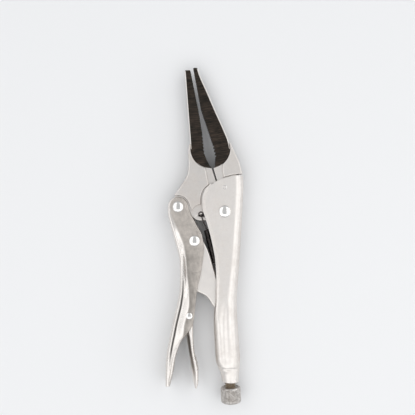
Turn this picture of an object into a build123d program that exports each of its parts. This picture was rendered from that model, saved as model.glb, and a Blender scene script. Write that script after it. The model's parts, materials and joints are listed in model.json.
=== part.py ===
from build123d import *
import os
from math import atan2, cos, hypot, radians, sin

# Long-nose locking pliers, nine inch pattern, shut and locked, lying on one side.
# Millimetres.  +Y runs from the adjusting screw to the nose, +Z is up from the surface.
# Plan places are given from the main pivot, on the tool's middle plane.

# ---- the frame: the box of the whole tool is centred on the origin, and stands on Z = 0
LEVER_HALF = 8.5            # half width of the lever handle, the widest piece
MID_Z = LEVER_HALF          # height of the middle plane
PIVOT_X = 13.44             # the main pivot, from the centre of the box
PIVOT_Y = 16.617
PLAN = Plane(origin=(PIVOT_X, PIVOT_Y, MID_Z))

# ---- pivots, from the main pivot
MAIN_PIVOT = (0, 0)
LEVER_PIVOT = (-31.5, 3.1)
LINK_PIVOT = (-20.4, -19.8)
LINK_TIP = (1.8, -65.6)
RELEASE_PIVOT = (-23.9, -70.3)
JAW_PIN = (0, 16.3)
SPRING_HOLE = (-16.0, -1.8)
SPRING_TAB = (-3.9, -41.0)

# ---- sheet metal and fits
SHEET = 1.6
CHANNEL_HALF = 4.1          # half of the gap inside both handles
WALL_HALF = CHANNEL_HALF + SHEET
TAIL_HALF = 3.9             # jaw tails and ears that work inside the channels
LINK_HALF = 3.8
LINK_SHEET = 1.5
RELEASE_HALF = 3.7
RELEASE_SHEET = 1.2
RUNNING_FIT = 0.05          # radial, a rivet in the piece that turns on it
SET_FIT = 0.02              # radial, a rivet in the walls that hold it

# ---- rivets: shank radius, head radius, dome height
MAIN_RIVET = (3.0, 4.2, 1.9)
LEVER_RIVET = (2.6, 3.8, 1.7)
LINK_RIVET = (2.6, 3.8, 1.7)
RELEASE_RIVET = (1.5, 2.3, 1.0)
JAW_PIN_RADIUS = 1.4

# ---- jaws
JAW_HALF = 5.25             # the thick silver bodies
NOSE_HALF = 4.2             # the black noses, at the crotch
NOSE_TIP_HALF = 2.6
NOSE_TAPER_FROM = 46.0      # plan height where the noses start to thin
NOSE_TIP_Y = 97.4
EYE_CENTRE = (-9.7, 42.6)   # the turned recess round the crotch, where the bodies end
EYE_RADIUS = 13.4
BOSS_RADIUS = 7.0           # moving jaw's disc on the main rivet
BOSS_RELIEF = 7.5           # fixed jaw is bored out round that disc
EAR_RADIUS = 6.2            # moving jaw's ear on the lever rivet
EAR_RELIEF = 7.6
SPOTFACE_RADIUS = 6.5
SPRING_HOLE_RADIUS = 1.9
FINE_TOOTH = (1.2, 0.5)     # pitch and depth
COARSE_TOOTH = (1.9, 0.9)

# ---- adjusting screw, on an axis that leans towards the main pivot
SCREW_THROUGH = (3.8, -112.6)
SCREW_LEAN = atan2(SCREW_THROUGH[0] - LINK_TIP[0], LINK_TIP[1] - SCREW_THROUGH[1])
SCREW_RADIUS = 3.7
SCREW_TIP_Y = -72.3         # 0.5 mm below the lowest place the toggle link's tip reaches
NECK_END_Y = -116.1
KNOB_TOP_Y = -119.2
KNOB_LENGTH = 11.2
KNOB_RADIUS = 6.85
KNOB_CHAMFER = 1.1
KNOB_DISH = (5.4, 0.7)      # radius and depth of the dished face round the shank

# ---- opening spring
COIL_RADIUS = 2.3
WIRE_RADIUS = 0.4
COIL_TOP = (-12.1, -12.4)
COIL_BOTTOM = (-6.3, -34.6)

os.makedirs("parts", exist_ok=True)


def cross_plane(y):
    """A plane across the tool: its x is +X and its y is +Z."""
    return Plane(origin=(PIVOT_X, PIVOT_Y + y, MID_Z), x_dir=(1, 0, 0), z_dir=(0, -1, 0))


def side_plane():
    """A plane along the tool through the main pivot: its x is +Y and its y is +Z."""
    return Plane(origin=(PIVOT_X, PIVOT_Y, MID_Z), x_dir=(0, 1, 0), z_dir=(1, 0, 0))


def screw_plane(y):
    """A plane square to the adjusting screw at plan height y, looking at the nose."""
    drop = LINK_TIP[1] - y
    origin = (PIVOT_X + LINK_TIP[0] + drop * sin(SCREW_LEAN) / cos(SCREW_LEAN), PIVOT_Y + y, MID_Z)
    return Plane(origin=origin, x_dir=(0, 0, 1), z_dir=(sin(SCREW_LEAN), -cos(SCREW_LEAN), 0))


def eye_point(angle):
    """A point on the turned recess, at an angle in degrees from +X."""
    turn = radians(angle)
    return (EYE_CENTRE[0] + EYE_RADIUS * cos(turn), EYE_CENTRE[1] + EYE_RADIUS * sin(turn))


def saw_edge(start, end, tooth, side):
    """Crests and roots of square saw teeth from start to end, cut to one side of the line."""
    pitch, depth = tooth
    length = hypot(end[0] - start[0], end[1] - start[1])
    along = ((end[0] - start[0]) / length, (end[1] - start[1]) / length)
    count = round(length / pitch)
    points = []
    for step in range(2 * count):
        reach = step * length / (2 * count)
        sink = depth * side if step % 2 else 0
        x = start[0] + along[0] * reach - along[1] * sink
        y = start[1] + along[1] * reach + along[0] * sink
        points.append((x, y))
    return points


def nose_wedge():
    """The side view of a nose: full thickness at the crotch, thinner towards the tip."""
    tip = NOSE_TIP_Y + 1
    with BuildSketch(side_plane()) as wedge:
        with BuildLine():
            Polyline((20, -NOSE_HALF), (NOSE_TAPER_FROM, -NOSE_HALF), (tip, -NOSE_TIP_HALF),
                     (tip, NOSE_TIP_HALF), (NOSE_TAPER_FROM, NOSE_HALF), (20, NOSE_HALF), close=True)
        make_face()
    return wedge.sketch


def rounded_section(y, left, right, half, back, front):
    """One cross-section of a handle: a box with its right corners rounded by back, left by front."""
    with BuildSketch(cross_plane(y)) as section:
        with Locations(((left + right) / 2, 0)):
            Rectangle(right - left, 2 * half)
        fillet(section.vertices().group_by(Axis.X)[-1], radius=back)
        fillet(section.vertices().group_by(Axis.X)[0], radius=front)
    return section.sketch


def rivet_part(place, size, face):
    """A rivet through the walls at place, with a low dome on each side."""
    shank, head, dome = size
    centre = (PIVOT_X + place[0], PIVOT_Y + place[1], MID_Z)
    plane = Plane(origin=centre, x_dir=(1, 0, 0), z_dir=(0, -1, 0))
    with BuildPart() as rivet:
        with BuildSketch(plane):
            with BuildLine():
                TangentArc((0, face + dome), (head, face), tangent=(1, 0))
                Polyline((head, face), (shank, face), (shank, -face), (head, -face))
                TangentArc((0, -face - dome), (head, -face), tangent=(1, 0))
                Line((0, -face - dome), (0, face + dome))
            make_face()
        revolve(axis=Axis(plane.origin, (0, 0, 1)))
    return rivet.part


def write(part, name):
    """Name a finished piece and write its STEP file."""
    part.label = name
    export_step(part, f"parts/{name}.step")


# ---------------------------------------------------------------- fixed handle
# stations from the nose end to the knob end: plan height, left, right, half width, left round
HANDLE_STATIONS = (
    (27, -18, 13.0, WALL_HALF, 0.3),
    (0, -18, 12.1, WALL_HALF, 0.3),
    (-20, -14, 11.0, WALL_HALF, 0.5),
    (-40, -8, 9.7, 6.2, 1.0),
    (-58, -6.6, 8.4, 7.0, 2.6),
    (-72, -7.3, 8.6, 7.4, 4.2),
    (-86, -6.9, 9.7, 7.5, 5.0),
    (-99, -6.2, 10.5, 7.4, 5.6),
    (-109, -2.4, 9.7, 5.95, 5.6),
    (NECK_END_Y, -1.75, 9.7, 5.75, 5.6),
)
HANDLE_MOUTH_END = -72.2     # the open front of the channel ends below the toggle link's travel
with BuildPart() as fixed_handle:
    for y, left, right, half, front in HANDLE_STATIONS:
        add(rounded_section(y, left, right, half, 0.97 * half, front))
    loft(ruled=True)
    with BuildSketch(PLAN):
        with BuildLine():
            Spline((12.0, 24.5), (3.7, 23.6), (-6.5, 20.1), (-12.4, 15.8), (-15.2, 8.4), (-14.0, -1.6),
                   (-10.7, -12.6), (-7.2, -27.6), (-5.7, -43.9), (-6.2, -60.0), (-7.8, -72.0))
            Polyline((-7.8, -72.0), (-9.0, -118.0), (15.0, -118.0), (15.0, 24.5), (12.0, 24.5))
        make_face()
    extrude(amount=20, both=True, mode=Mode.INTERSECT)
    for y, left, right, half, front in HANDLE_STATIONS[:5]:
        add(rounded_section(min(y, 26.9), -24, right - SHEET, half - SHEET, 0.9 * (half - SHEET), 0.3))
    add(rounded_section(HANDLE_MOUTH_END, -24, 8.6 - SHEET, 7.4 - SHEET, 5.1, 0.3))
    loft(ruled=True, mode=Mode.SUBTRACT)
    for y, left, right, half, front in HANDLE_STATIONS[5:8]:
        inner = half - SHEET
        add(rounded_section(y, left + SHEET, right - SHEET, inner, 0.95 * inner, front - 1.2))
    add(rounded_section(-105, -0.6, 8.4, 4.3, 4.0, 3.6))
    loft(ruled=True, mode=Mode.SUBTRACT)
    add(rounded_section(HANDLE_MOUTH_END + 1, -4.6, 6.8, 5.5, 4.9, 1.0))
    add(rounded_section(HANDLE_MOUTH_END - 4, -5.2, 6.9, 5.5, 4.9, 2.9))
    loft(ruled=True, mode=Mode.SUBTRACT)
    with BuildSketch(screw_plane(-100)):
        Circle(SCREW_RADIUS + RUNNING_FIT)
    extrude(amount=25, mode=Mode.SUBTRACT)
    with BuildSketch(PLAN):
        with Locations(MAIN_PIVOT):
            Circle(MAIN_RIVET[0] + SET_FIT)
        with Locations(JAW_PIN):
            Circle(JAW_PIN_RADIUS + SET_FIT)
    extrude(amount=20, both=True, mode=Mode.SUBTRACT)
    with BuildSketch(PLAN.offset(-1.0)):
        with Locations(SPRING_TAB):
            Rectangle(1.2, 2.6)
    extrude(amount=CHANNEL_HALF + 1.6)
write(fixed_handle.part, "fixed_handle")

# ---------------------------------------------------------------- fixed jaw
with BuildPart() as fixed_jaw:
    with BuildSketch(PLAN):
        with BuildLine():
            teeth = saw_edge((-6.3, 36.4), (-8.2, 45.3), COARSE_TOOTH, -1)
            teeth += saw_edge((-8.2, 45.3), (-16.1, 69.1), FINE_TOOTH, -1)
            teeth += saw_edge((-16.1, 69.1), (-21.3, 96.6), FINE_TOOTH, -1)
            Polyline(eye_point(-81), (-6.4, 31.2), *teeth, (-21.3, 96.6), (-20.9, NOSE_TIP_Y),
                     (-18.6, NOSE_TIP_Y), (-17.6, 94.3))
            Spline((-17.6, 94.3), (-6.6, 69.1), (-0.5, 55.5), eye_point(0))
            ThreePointArc(eye_point(0), eye_point(-40), eye_point(-81))
        make_face()
    extrude(amount=NOSE_HALF, both=True)
    extrude(nose_wedge(), amount=60, both=True, mode=Mode.INTERSECT)
    with BuildSketch(PLAN) as tail:
        with BuildLine():
            Polyline((-7.6, 29.4), (-4.9, 20.1), (-0.6, 6.6), (6.9, 2.0), (7.5, 22.0), (9.0, 30.0),
                     (1.0, 33.5), close=True)
        make_face()
        with Locations(MAIN_PIVOT):
            Circle(BOSS_RELIEF, mode=Mode.SUBTRACT)
    extrude(amount=TAIL_HALF, both=True)
    with BuildSketch(PLAN) as body:
        with BuildLine():
            Spline((3.6, 47.0), (7.2, 39.2), (10.2, 32.3), (11.9, 25.3))
            Spline((11.9, 25.3), (7.2, 24.8), (3.7, 24.1), (-0.75, 22.9))
            Polyline((-0.75, 22.9), (-2.2, 31.5), (0.5, 40.0), (3.6, 47.0))
        make_face()
        with Locations(EYE_CENTRE):
            Circle(EYE_RADIUS, mode=Mode.SUBTRACT)
    extrude(amount=JAW_HALF, both=True)
    with BuildSketch(PLAN):
        with Locations(JAW_PIN):
            Circle(JAW_PIN_RADIUS + SET_FIT)
    extrude(amount=20, both=True, mode=Mode.SUBTRACT)
write(fixed_jaw.part, "fixed_jaw")

# ---------------------------------------------------------------- moving jaw
with BuildPart() as moving_jaw:
    with BuildSketch(PLAN):
        with BuildLine():
            teeth = saw_edge((-23.1, 95.3), (-17.8, 69.1), FINE_TOOTH, -1)
            teeth += saw_edge((-17.8, 69.1), (-15.0, 52.0), FINE_TOOTH, -1)
            teeth += saw_edge((-15.0, 52.0), (-13.6, 38.6), COARSE_TOOTH, -1)
            Polyline(eye_point(-86), (-10.2, 30.9), (-12.3, 35.6), (-13.6, 38.6), *reversed(teeth),
                     (-23.5, 95.7), (-26.8, 95.7), (-27.1, 94.6))
            Spline((-27.1, 94.6), (-25.7, 75.9), (-24.1, 55.5), eye_point(180))
            ThreePointArc(eye_point(180), eye_point(-135), eye_point(-86))
        make_face()
    extrude(amount=NOSE_HALF, both=True)
    extrude(nose_wedge(), amount=60, both=True, mode=Mode.INTERSECT)
    with BuildSketch(PLAN) as web:
        with BuildLine():
            Polyline((-8.7, 29.2), (-5.9, 20.1), (-1.6, 6.6), (-1.0, -6.9), (-13.3, -5.9), (-16.4, -6.2),
                     (-19.4, -5.5), (-21.8, -3.8), (-30.5, -3.0), (-37.2, 5.4), (-28.9, 18.4),
                     (-24.5, 28.3), (-22.0, 34.0), close=True)
        make_face()
        with Locations(MAIN_PIVOT):
            Circle(BOSS_RADIUS)
        with Locations(LEVER_PIVOT):
            Circle(EAR_RADIUS)
    extrude(amount=TAIL_HALF, both=True)
    with BuildSketch(PLAN) as body:
        with BuildLine():
            Polyline((-23.9, 46.5), (-24.5, 41.9), (-24.5, 28.8))
            Spline((-24.5, 28.8), (-25.4, 24.0), (-28.9, 18.4), (-37.2, 6.0),
                   tangents=((0, -1), (-0.55, -0.84)))
            Polyline((-37.2, 6.0), (-30.0, 0.0), (-22.4, -3.2))
            Spline((-22.4, -3.2), (-19.4, -5.5), (-16.2, -6.2))
            Polyline((-16.2, -6.2), (-16.2, 4.4))
            Spline((-16.2, 4.4), (-16.0, 9.4), (-14.4, 14.5), (-10.6, 18.2))
            Polyline((-10.6, 18.2), (-11.9, 23.5), (-13.4, 31.0), (-20.0, 44.0), (-23.9, 46.5))
        make_face()
        with Locations(EYE_CENTRE):
            Circle(EYE_RADIUS, mode=Mode.SUBTRACT)
        with Locations(LEVER_PIVOT):
            Circle(EAR_RELIEF, mode=Mode.SUBTRACT)
        with Locations(SPRING_HOLE):
            Circle(SPOTFACE_RADIUS, mode=Mode.SUBTRACT)
        with BuildLine():
            Polyline((-24.2, 5.2), (-20.6, -3.2), (-21.0, -12.0), (-40.0, -8.0), (-33.0, 5.2), close=True)
        make_face(mode=Mode.SUBTRACT)
    extrude(amount=JAW_HALF, both=True)
    with BuildSketch(PLAN):
        with Locations(MAIN_PIVOT):
            Circle(MAIN_RIVET[0] + RUNNING_FIT)
        with Locations(LEVER_PIVOT):
            Circle(LEVER_RIVET[0] + RUNNING_FIT)
        with Locations(SPRING_HOLE):
            Circle(SPRING_HOLE_RADIUS)
    extrude(amount=20, both=True, mode=Mode.SUBTRACT)
write(moving_jaw.part, "moving_jaw")

# ---------------------------------------------------------------- lever handle
# stations of the wide rolled back: plan height, back, inner edge of the roll, half width
LEVER_STATIONS = (
    (-7, -36.9, -32.6, WALL_HALF),
    (-20, -33.6, -28.4, 6.9),
    (-35, -30.3, -26.0, 8.0),
    (-50, -30.2, -24.6, LEVER_HALF),
    (-64, -32.5, -24.0, LEVER_HALF),
    (-80, -36.3, -28.0, LEVER_HALF),
    (-95, -39.0, -32.2, LEVER_HALF),
    (-108, -39.8, -34.7, 8.4),
    (-117.5, -39.8, -36.6, 8.0),
)
with BuildPart() as lever_handle:
    for y, back, roll, half in LEVER_STATIONS:
        add(rounded_section(y, back, roll, half, 0.3, 0.72 * (roll - back)))
    loft(ruled=True)
    with BuildSketch(PLAN) as panel:
        with BuildLine():
            Spline((-38.4, 1.5), (-36.3, -9.2), (-31.7, -26.2), (-30.0, -42.0), (-31.4, -59.0),
                   (-35.6, -77.0), (-38.0, -90.0))
            Polyline((-38.0, -90.0), (-30.4, -90.0), (-26.4, -83.8), (-21.3, -76.4))
            Spline((-21.3, -76.4), (-19.7, -63.7), (-16.2, -41.9), (-14.0, -25.4), (-15.4, -16.0),
                   (-25.3, 3.1))
            Line((-25.3, 3.1), (-38.4, 1.5))
        make_face()
        with Locations(LEVER_PIVOT):
            Circle(6.8)
    extrude(amount=WALL_HALF, both=True)
    for y, back, roll, half in LEVER_STATIONS:
        inner_back = back + SHEET
        inner_round = 0.66 * (roll - inner_back)
        add(rounded_section(max(y, -117.4), inner_back, roll + 0.5, half - SHEET, 0.3, inner_round))
    loft(ruled=True, mode=Mode.SUBTRACT)
    with BuildSketch(PLAN) as hollow:
        with BuildLine():
            Spline((-35.4, -6.0), (-30.1, -26.2), (-28.4, -42.0), (-29.8, -59.0), (-34.0, -77.0),
                   (-37.4, -95.0), (-38.2, -108.0), (-38.2, -119.0))
            Polyline((-38.2, -119.0), (0.0, -119.0), (0.0, 11.0), (-42.0, 11.0), (-42.0, -4.0),
                     (-35.4, -6.0))
        make_face()
    extrude(amount=CHANNEL_HALF, both=True, mode=Mode.SUBTRACT)
    with BuildSketch(PLAN):
        with Locations(LEVER_PIVOT):
            Circle(LEVER_RIVET[0] + SET_FIT)
        with Locations(LINK_PIVOT):
            Circle(LINK_RIVET[0] + SET_FIT)
        with Locations(RELEASE_PIVOT):
            Circle(RELEASE_RIVET[0] + SET_FIT)
    extrude(amount=20, both=True, mode=Mode.SUBTRACT)
write(lever_handle.part, "lever_handle")

# ---------------------------------------------------------------- toggle link
with BuildPart() as toggle_link:
    with BuildSketch(PLAN) as side:
        with BuildLine():
            Polyline((-25.4, -21.8), (-22.6, -50.0), (-21.2, -53.9))
            Spline((-21.2, -53.9), (-17.7, -54.7), (-12.6, -57.5), (-8.9, -62.0), (-7.2, -65.4))
            Polyline((-7.2, -65.4), (0.6, -68.3), (4.5, -64.2), (-5.0, -45.0), (-12.3, -23.5),
                     (-15.2, -18.0), (-20.4, -16.0), (-25.4, -21.8))
        make_face()
        with Locations(LINK_PIVOT):
            Circle(5.5)
        with Locations(LINK_TIP):
            Circle(3.0)
    extrude(amount=LINK_HALF, both=True)
    with BuildSketch(PLAN) as fold:
        with BuildLine():
            Polyline((-22.6, -28.0), (-20.9, -49.0), (-19.0, -52.6), (-12.2, -55.3), (-7.0, -60.6),
                     (0.0, -52.0), (-9.0, -22.0), (-14.0, -10.0), (-20.0, -10.0), close=True)
        make_face()
    extrude(amount=LINK_HALF - LINK_SHEET, both=True, mode=Mode.SUBTRACT)
    with BuildSketch(PLAN):
        with Locations(LINK_PIVOT):
            Circle(LINK_RIVET[0] + RUNNING_FIT)
    extrude(amount=20, both=True, mode=Mode.SUBTRACT)
write(toggle_link.part, "toggle_link")

# ---------------------------------------------------------------- release lever
RELEASE_TAIL_HALF = 5.0
GRIP_RIBS = 4
with BuildPart() as release_lever:
    with BuildSketch(PLAN) as side:
        with BuildLine():
            Polyline((-28.2, -53.5), (-25.2, -53.5), (-21.2, -68.0), (-21.2, -84.0))
            Spline((-21.2, -84.0), (-20.1, -97.0), (-18.0, -106.5), (-17.7, -114.7), (-18.5, -118.6))
            Polyline((-18.5, -118.6), (-20.7, -118.6))
            Spline((-20.7, -118.6), (-22.5, -106.6), (-24.7, -92.3), (-26.2, -80.0))
            Polyline((-26.2, -80.0), (-27.3, -70.3), (-28.2, -53.5))
        make_face()
        with Locations((-26.7, -53.5)):
            Circle(1.5)
        with Locations(RELEASE_PIVOT):
            Circle(3.4)
        with Locations((-19.6, -118.6)):
            Circle(1.1)
    extrude(amount=RELEASE_TAIL_HALF, both=True)
    with BuildSketch(side_plane()):
        with BuildLine():
            Polyline((-45, -RELEASE_HALF), (-84, -RELEASE_HALF), (-96, -RELEASE_TAIL_HALF),
                     (-122, -RELEASE_TAIL_HALF), (-122, RELEASE_TAIL_HALF), (-96, RELEASE_TAIL_HALF),
                     (-84, RELEASE_HALF), (-45, RELEASE_HALF), close=True)
        make_face()
    extrude(amount=60, both=True, mode=Mode.INTERSECT)
    with BuildSketch(PLAN) as trough:
        with BuildLine():
            Polyline((-22.5, -66.0), (-22.4, -84.0))
            Spline((-22.4, -84.0), (-21.3, -97.0), (-19.3, -107.0), (-19.2, -116.6))
            Polyline((-19.2, -116.6), (-30.0, -116.6), (-32.0, -60.0), (-26.4, -60.0), (-22.5, -66.0))
        make_face()
    extrude(amount=RELEASE_HALF - RELEASE_SHEET, both=True, mode=Mode.SUBTRACT)
    with BuildSketch(PLAN):
        for rib in range(GRIP_RIBS):
            with Locations((-19.6 + 0.42 * rib, -99.2 - 2.2 * rib)):
                Circle(0.75)
    extrude(amount=RELEASE_TAIL_HALF - 0.8, both=True)
    with BuildSketch(PLAN):
        with Locations(RELEASE_PIVOT):
            Circle(RELEASE_RIVET[0] + RUNNING_FIT)
    extrude(amount=20, both=True, mode=Mode.SUBTRACT)
write(release_lever.part, "release_lever")

# ---------------------------------------------------------------- rivets and pin
write(rivet_part(MAIN_PIVOT, MAIN_RIVET, WALL_HALF), "main_rivet")
write(rivet_part(LEVER_PIVOT, LEVER_RIVET, WALL_HALF), "lever_rivet")
write(rivet_part(LINK_PIVOT, LINK_RIVET, WALL_HALF), "link_rivet")
write(rivet_part(RELEASE_PIVOT, RELEASE_RIVET, WALL_HALF), "release_rivet")
with BuildPart() as fixed_jaw_pin:
    with BuildSketch(PLAN):
        with Locations(JAW_PIN):
            Circle(JAW_PIN_RADIUS)
    extrude(amount=WALL_HALF + 0.15, both=True)
write(fixed_jaw_pin.part, "fixed_jaw_pin")

# ---------------------------------------------------------------- adjusting screw and knob
with BuildPart() as adjusting_screw:
    with BuildSketch(screw_plane(SCREW_TIP_Y)):
        Circle(SCREW_RADIUS)
    extrude(amount=(SCREW_TIP_Y - KNOB_TOP_Y) / cos(SCREW_LEAN) + KNOB_DISH[1])
    chamfer(adjusting_screw.edges().group_by(Axis.Y)[-1], length=0.8)
write(adjusting_screw.part, "adjusting_screw")

with BuildPart() as adjusting_knob:
    with BuildSketch(screw_plane(KNOB_TOP_Y)):
        Circle(KNOB_RADIUS)
    extrude(amount=KNOB_LENGTH)
    chamfer(adjusting_knob.edges(), length=KNOB_CHAMFER)
    with BuildSketch(screw_plane(KNOB_TOP_Y)):
        Circle(KNOB_DISH[0])
    extrude(amount=KNOB_DISH[1], mode=Mode.SUBTRACT)
write(adjusting_knob.part, "adjusting_knob")

# ---------------------------------------------------------------- opening spring
# one closed envelope for the close-wound coil, with its two hooks as plain wire
coil_length = hypot(COIL_BOTTOM[0] - COIL_TOP[0], COIL_BOTTOM[1] - COIL_TOP[1])
coil_run = ((COIL_BOTTOM[0] - COIL_TOP[0]) / coil_length, (COIL_BOTTOM[1] - COIL_TOP[1]) / coil_length)
coil_plane = Plane(origin=(PIVOT_X + COIL_TOP[0], PIVOT_Y + COIL_TOP[1], MID_Z), z_dir=(*coil_run, 0))
HOOK_RISE = TAIL_HALF + 0.6
with BuildPart() as opening_spring:
    with BuildSketch(coil_plane):
        Circle(COIL_RADIUS)
    extrude(amount=coil_length)
    with BuildLine(PLAN) as upper_hook:
        Polyline((*COIL_TOP, 1.2), (-14.3, -6.6, HOOK_RISE), (*SPRING_HOLE, HOOK_RISE), (*SPRING_HOLE, 1.5))
    with BuildSketch(Plane(origin=upper_hook.line @ 0, z_dir=upper_hook.line % 0)):
        Circle(WIRE_RADIUS)
    sweep(transition=Transition.RIGHT)
    with BuildLine(PLAN) as lower_hook:
        Polyline((*COIL_BOTTOM, -1.2), (-5.0, -40.0, -1.6), (-3.9, -43.0, -1.6))
    with BuildSketch(Plane(origin=lower_hook.line @ 0, z_dir=lower_hook.line % 0)):
        Circle(WIRE_RADIUS)
    sweep(transition=Transition.RIGHT)
write(opening_spring.part, "opening_spring")
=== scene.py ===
"""Long-nose locking pliers: the visible pieces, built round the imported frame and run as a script.

Plan places are in millimetres from the main pivot, on the tool's middle plane, as the frame's
joints give it: +X towards the fixed handle, +Y towards the nose, +Z up from the floor.
"""
import json
import math

import bpy
import numpy as np
from bpy.props import FloatProperty, FloatVectorProperty, IntProperty, PointerProperty
from bpy.types import Operator, Panel, PropertyGroup
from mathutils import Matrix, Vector


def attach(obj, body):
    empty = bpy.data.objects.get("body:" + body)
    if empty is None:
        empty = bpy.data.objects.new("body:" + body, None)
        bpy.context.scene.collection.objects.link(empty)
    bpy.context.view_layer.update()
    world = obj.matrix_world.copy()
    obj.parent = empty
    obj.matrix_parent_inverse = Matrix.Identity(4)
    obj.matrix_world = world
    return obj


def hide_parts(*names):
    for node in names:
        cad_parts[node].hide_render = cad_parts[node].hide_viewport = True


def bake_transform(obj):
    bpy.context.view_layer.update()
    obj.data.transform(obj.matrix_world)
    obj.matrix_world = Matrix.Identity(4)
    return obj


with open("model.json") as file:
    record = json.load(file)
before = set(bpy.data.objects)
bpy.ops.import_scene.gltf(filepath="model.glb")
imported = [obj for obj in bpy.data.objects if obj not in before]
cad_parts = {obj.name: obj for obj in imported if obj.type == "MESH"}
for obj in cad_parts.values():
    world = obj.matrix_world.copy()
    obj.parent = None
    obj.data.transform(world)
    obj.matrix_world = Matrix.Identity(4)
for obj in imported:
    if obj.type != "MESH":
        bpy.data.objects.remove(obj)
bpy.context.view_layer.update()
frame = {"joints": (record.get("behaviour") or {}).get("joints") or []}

bl_info = {
    "name": "Long-Nose Locking Pliers",
    "version": (1, 0, 0),
    "blender": (4, 5, 0),
    "location": "View3D > Sidebar > Pliers",
    "description": "Builds locking pliers in pressed, forged and turned steel round a packed frame",
    "category": "Add Mesh",
}

MM = 0.001
MAIN_PIVOT = (0.0, 0.0)
JOINTS = {joint["name"]: joint for joint in frame["joints"]}
ORIGIN = np.array(JOINTS["jaw_swing"]["pos_m"], float)


def plan_place(name):
    """The pivot of a joint as a plan place, in millimetres from the main pivot."""
    return tuple(((np.array(JOINTS[name]["pos_m"], float) - ORIGIN) / MM)[:2].tolist())


LEVER_PIVOT = plan_place("lever_swing")
LINK_PIVOT = plan_place("link_swing")
RELEASE_PIVOT = plan_place("release_press")
KNOB_TOP = plan_place("knob_turn")
SCREW_AXIS = np.array(JOINTS["screw_feed"]["axis"], float)
JAW_PIN = (0.0, 16.3)
SPRING_HOLE = (-16.0, -1.8)
HOOK_PLACE = (-15.0, -2.5)

EYE_CENTRE = (-9.7, 42.6)
EYE_RADIUS = 13.4
WALL_HALF = 5.7
EAR_END_RADIUS = 6.8
NOSE_HALF = 4.2
NOSE_TIP_HALF = 2.6
NOSE_TAPER_FROM = 46.0
NOSE_TIP_Y = 97.4
COARSE_PITCH = 2.2
SMOOTH_ROUND = 0.8
TOOTH_ROUND = 0.12
JAW_HALF = 5.25
TAIL_HALF = 3.9
FLOOR_CORNERS = [(-3, -3, 0), (3, -3, 0), (3, 3, 0), (-3, 3, 0)]
FLOOR_GREYS = (0.84, 0.84, 0.84, 1), (0.81, 0.81, 0.81, 1)
CAMERA_HEIGHT = 0.48
VIEW_WIDTH = 0.282615
UP = (0, 0, 1)

# a corner that turns more than SHARP_TURN is sharp, and FAR is wider than any piece
SHARP_TURN = math.radians(18)
FAR = 50.0
CREASE = math.radians(38)

# y, back x, crest x, foot x, panel edge x, crest height of the lever handle
LEVER_STATIONS = np.array([
    (-1.5, -38.35, -37.2, -36.6, -22.95, 5.7),
    (-9.2, -36.5, -34.9, -33.0, -18.8, 5.9),
    (-16.0, -34.7, -32.8, -30.0, -15.3, 6.6),
    (-24.5, -32.3, -30.3, -27.3, -14.0, 7.4),
    (-33.0, -30.4, -28.5, -26.1, -14.9, 8.0),
    (-42.0, -30.1, -28.1, -25.5, -16.2, 8.4),
    (-52.0, -30.3, -28.3, -24.3, -18.4, 8.5),
    (-62.0, -32.1, -29.6, -23.9, -19.6, 8.5),
    (-70.0, -34.0, -31.4, -25.4, -20.5, 8.5),
    (-76.0, -35.4, -32.8, -27.1, -21.4, 8.5),
    (-83.6, -36.9, -34.3, -28.0, -26.3, 8.5),
    (-87.5, -37.6, -35.1, -29.9, -29.2, 8.5),
    (-94.3, -38.9, -36.3, -32.5, -32.0, 8.5),
    (-101.5, -39.6, -37.1, -34.3, -33.8, 8.4),
    (-109.0, -39.8, -37.6, -35.4, -34.9, 8.3),
    (-117.5, -39.8, -38.0, -37.2, -36.8, 8.1),
])

# left x, left y, right x, right y, half depth, front corner of the fixed handle
HANDLE_STATIONS = np.array([
    (-9.9, 18.1, 12.4, 24.4, 5.7, 0.03),
    (-13.2, 14.7, 12.9, 18.5, 5.7, 0.03),
    (-15.2, 8.2, 12.6, 10.0, 5.7, 0.03),
    (-14.9, 2.4, 12.3, 3.0, 5.7, 0.03),
    (-12.5, -6.0, 11.8, -6.0, 5.7, 0.03),
    (-8.9, -19.4, 11.0, -19.4, 5.75, 0.03),
    (-6.3, -34.0, 10.1, -34.0, 6.05, 0.05),
    (-5.6, -47.0, 9.2, -47.0, 6.5, 0.3),
    (-6.2, -60.0, 8.35, -60.0, 7.0, 1.6),
    (-7.0, -68.0, 8.45, -68.0, 7.3, 2.6),
    (-7.25, -72.6, 8.65, -72.6, 7.4, 3.0),
    (-7.3, -77.0, 8.95, -77.0, 7.45, 4.6),
    (-6.7, -90.5, 9.95, -90.5, 7.5, 5.0),
    (-6.0, -100.5, 10.6, -100.5, 7.35, 5.2),
    (-4.3, -106.0, 10.3, -106.0, 6.7, 5.4),
    (-2.5, -110.0, 9.85, -110.0, 6.0, 5.5),
    (-1.5, -116.1, 9.55, -116.1, 5.6, 5.4),
])

# y, open edge x, back x, half depth of the release lever
RELEASE_STATIONS = np.array([
    (-66.0, -26.9, -21.9, 3.7),
    (-76.0, -26.7, -21.3, 3.7),
    (-84.0, -26.1, -21.3, 3.7),
    (-92.0, -24.8, -20.9, 4.3),
    (-98.0, -23.8, -20.0, 4.8),
    (-104.0, -22.9, -18.6, 5.0),
    (-110.0, -21.9, -17.8, 5.0),
    (-115.5, -21.1, -17.8, 5.0),
    (-119.5, -20.2, -18.9, 4.6),
])


# --- plane geometry
def hermite(values, slope, span, piece, t):
    """Cubic Hermite pieces: the place a share t along each piece, from its ends and their slopes."""
    start = values[piece] * (1 + 2 * t) * (1 - t) ** 2 + slope[piece] * span * t * (1 - t) ** 2
    end = values[piece + 1] * t * t * (3 - 2 * t) - slope[piece + 1] * span * t * t * (1 - t)
    return start + end


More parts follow.
